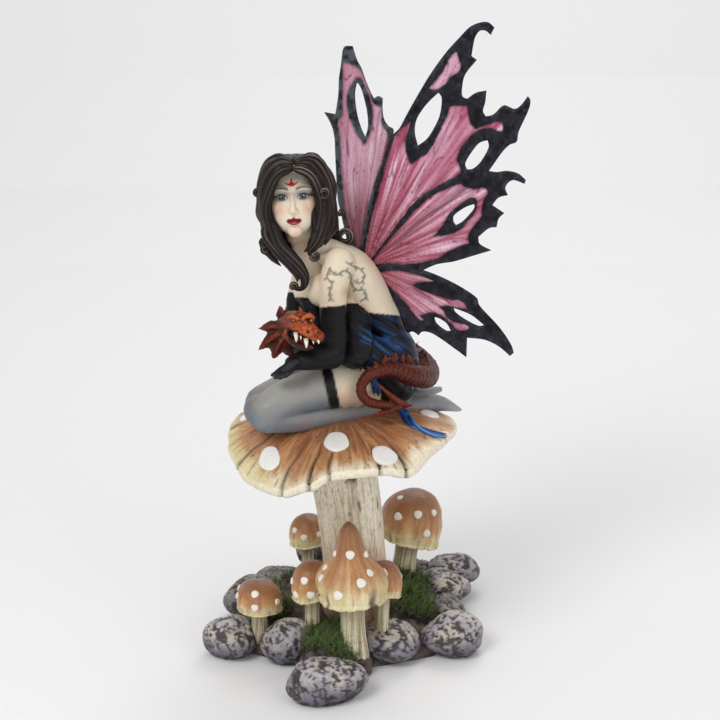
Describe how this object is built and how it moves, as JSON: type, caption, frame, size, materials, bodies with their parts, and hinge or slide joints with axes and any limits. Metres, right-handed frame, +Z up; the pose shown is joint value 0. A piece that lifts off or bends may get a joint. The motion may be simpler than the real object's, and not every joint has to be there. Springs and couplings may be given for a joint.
{
  "type": "fairy figurine",
  "caption": "Painted resin fairy kneeling on a spotted toadstool with a small dragon round its waist, on a base of stones, small toadstools and moss.",
  "frame": {"origin": "middle of the object's box, on the surface it stands on", "axes": "+Z up, the front faces -Y, +X to the right seen from the front"},
  "size_m": [0.2018, 0.1842, 0.4008],
  "materials": {
    "stones": "painted resin casting, grey and cream drybrush over charcoal stones, dark earth",
    "stem": "painted resin casting, cream with green-grey wash in fine grooves",
    "cap": "painted resin casting, satin, orange brown to cream, white discs",
    "small_caps": "painted resin casting, satin, orange brown to cream, white discs",
    "figure": "painted resin casting, skin, black and blue dress, grey stockings, dark hair",
    "wings": "painted resin casting, pink membrane with black veins and borders",
    "dragon_scale": "painted resin casting, red brown with orange highlights",
    "moss": "glued green fibre"
  },
  "bodies": {
    "root": {"stone_base": "stones", "toadstool_stem": "stem", "toadstool_cap": "cap", "toadstool_cluster": "small_caps", "toadstool_right": "small_caps", "toadstool_back": "small_caps", "toadstool_front_left": "small_caps", "fairy_figure": "figure", "wing_left": "wings", "wing_right": "wings", "dragon": "dragon_scale", "moss_front": "moss", "moss_right": "moss", "moss_back_right": "moss", "moss_left": "moss"}
  },
  "joints": []
}
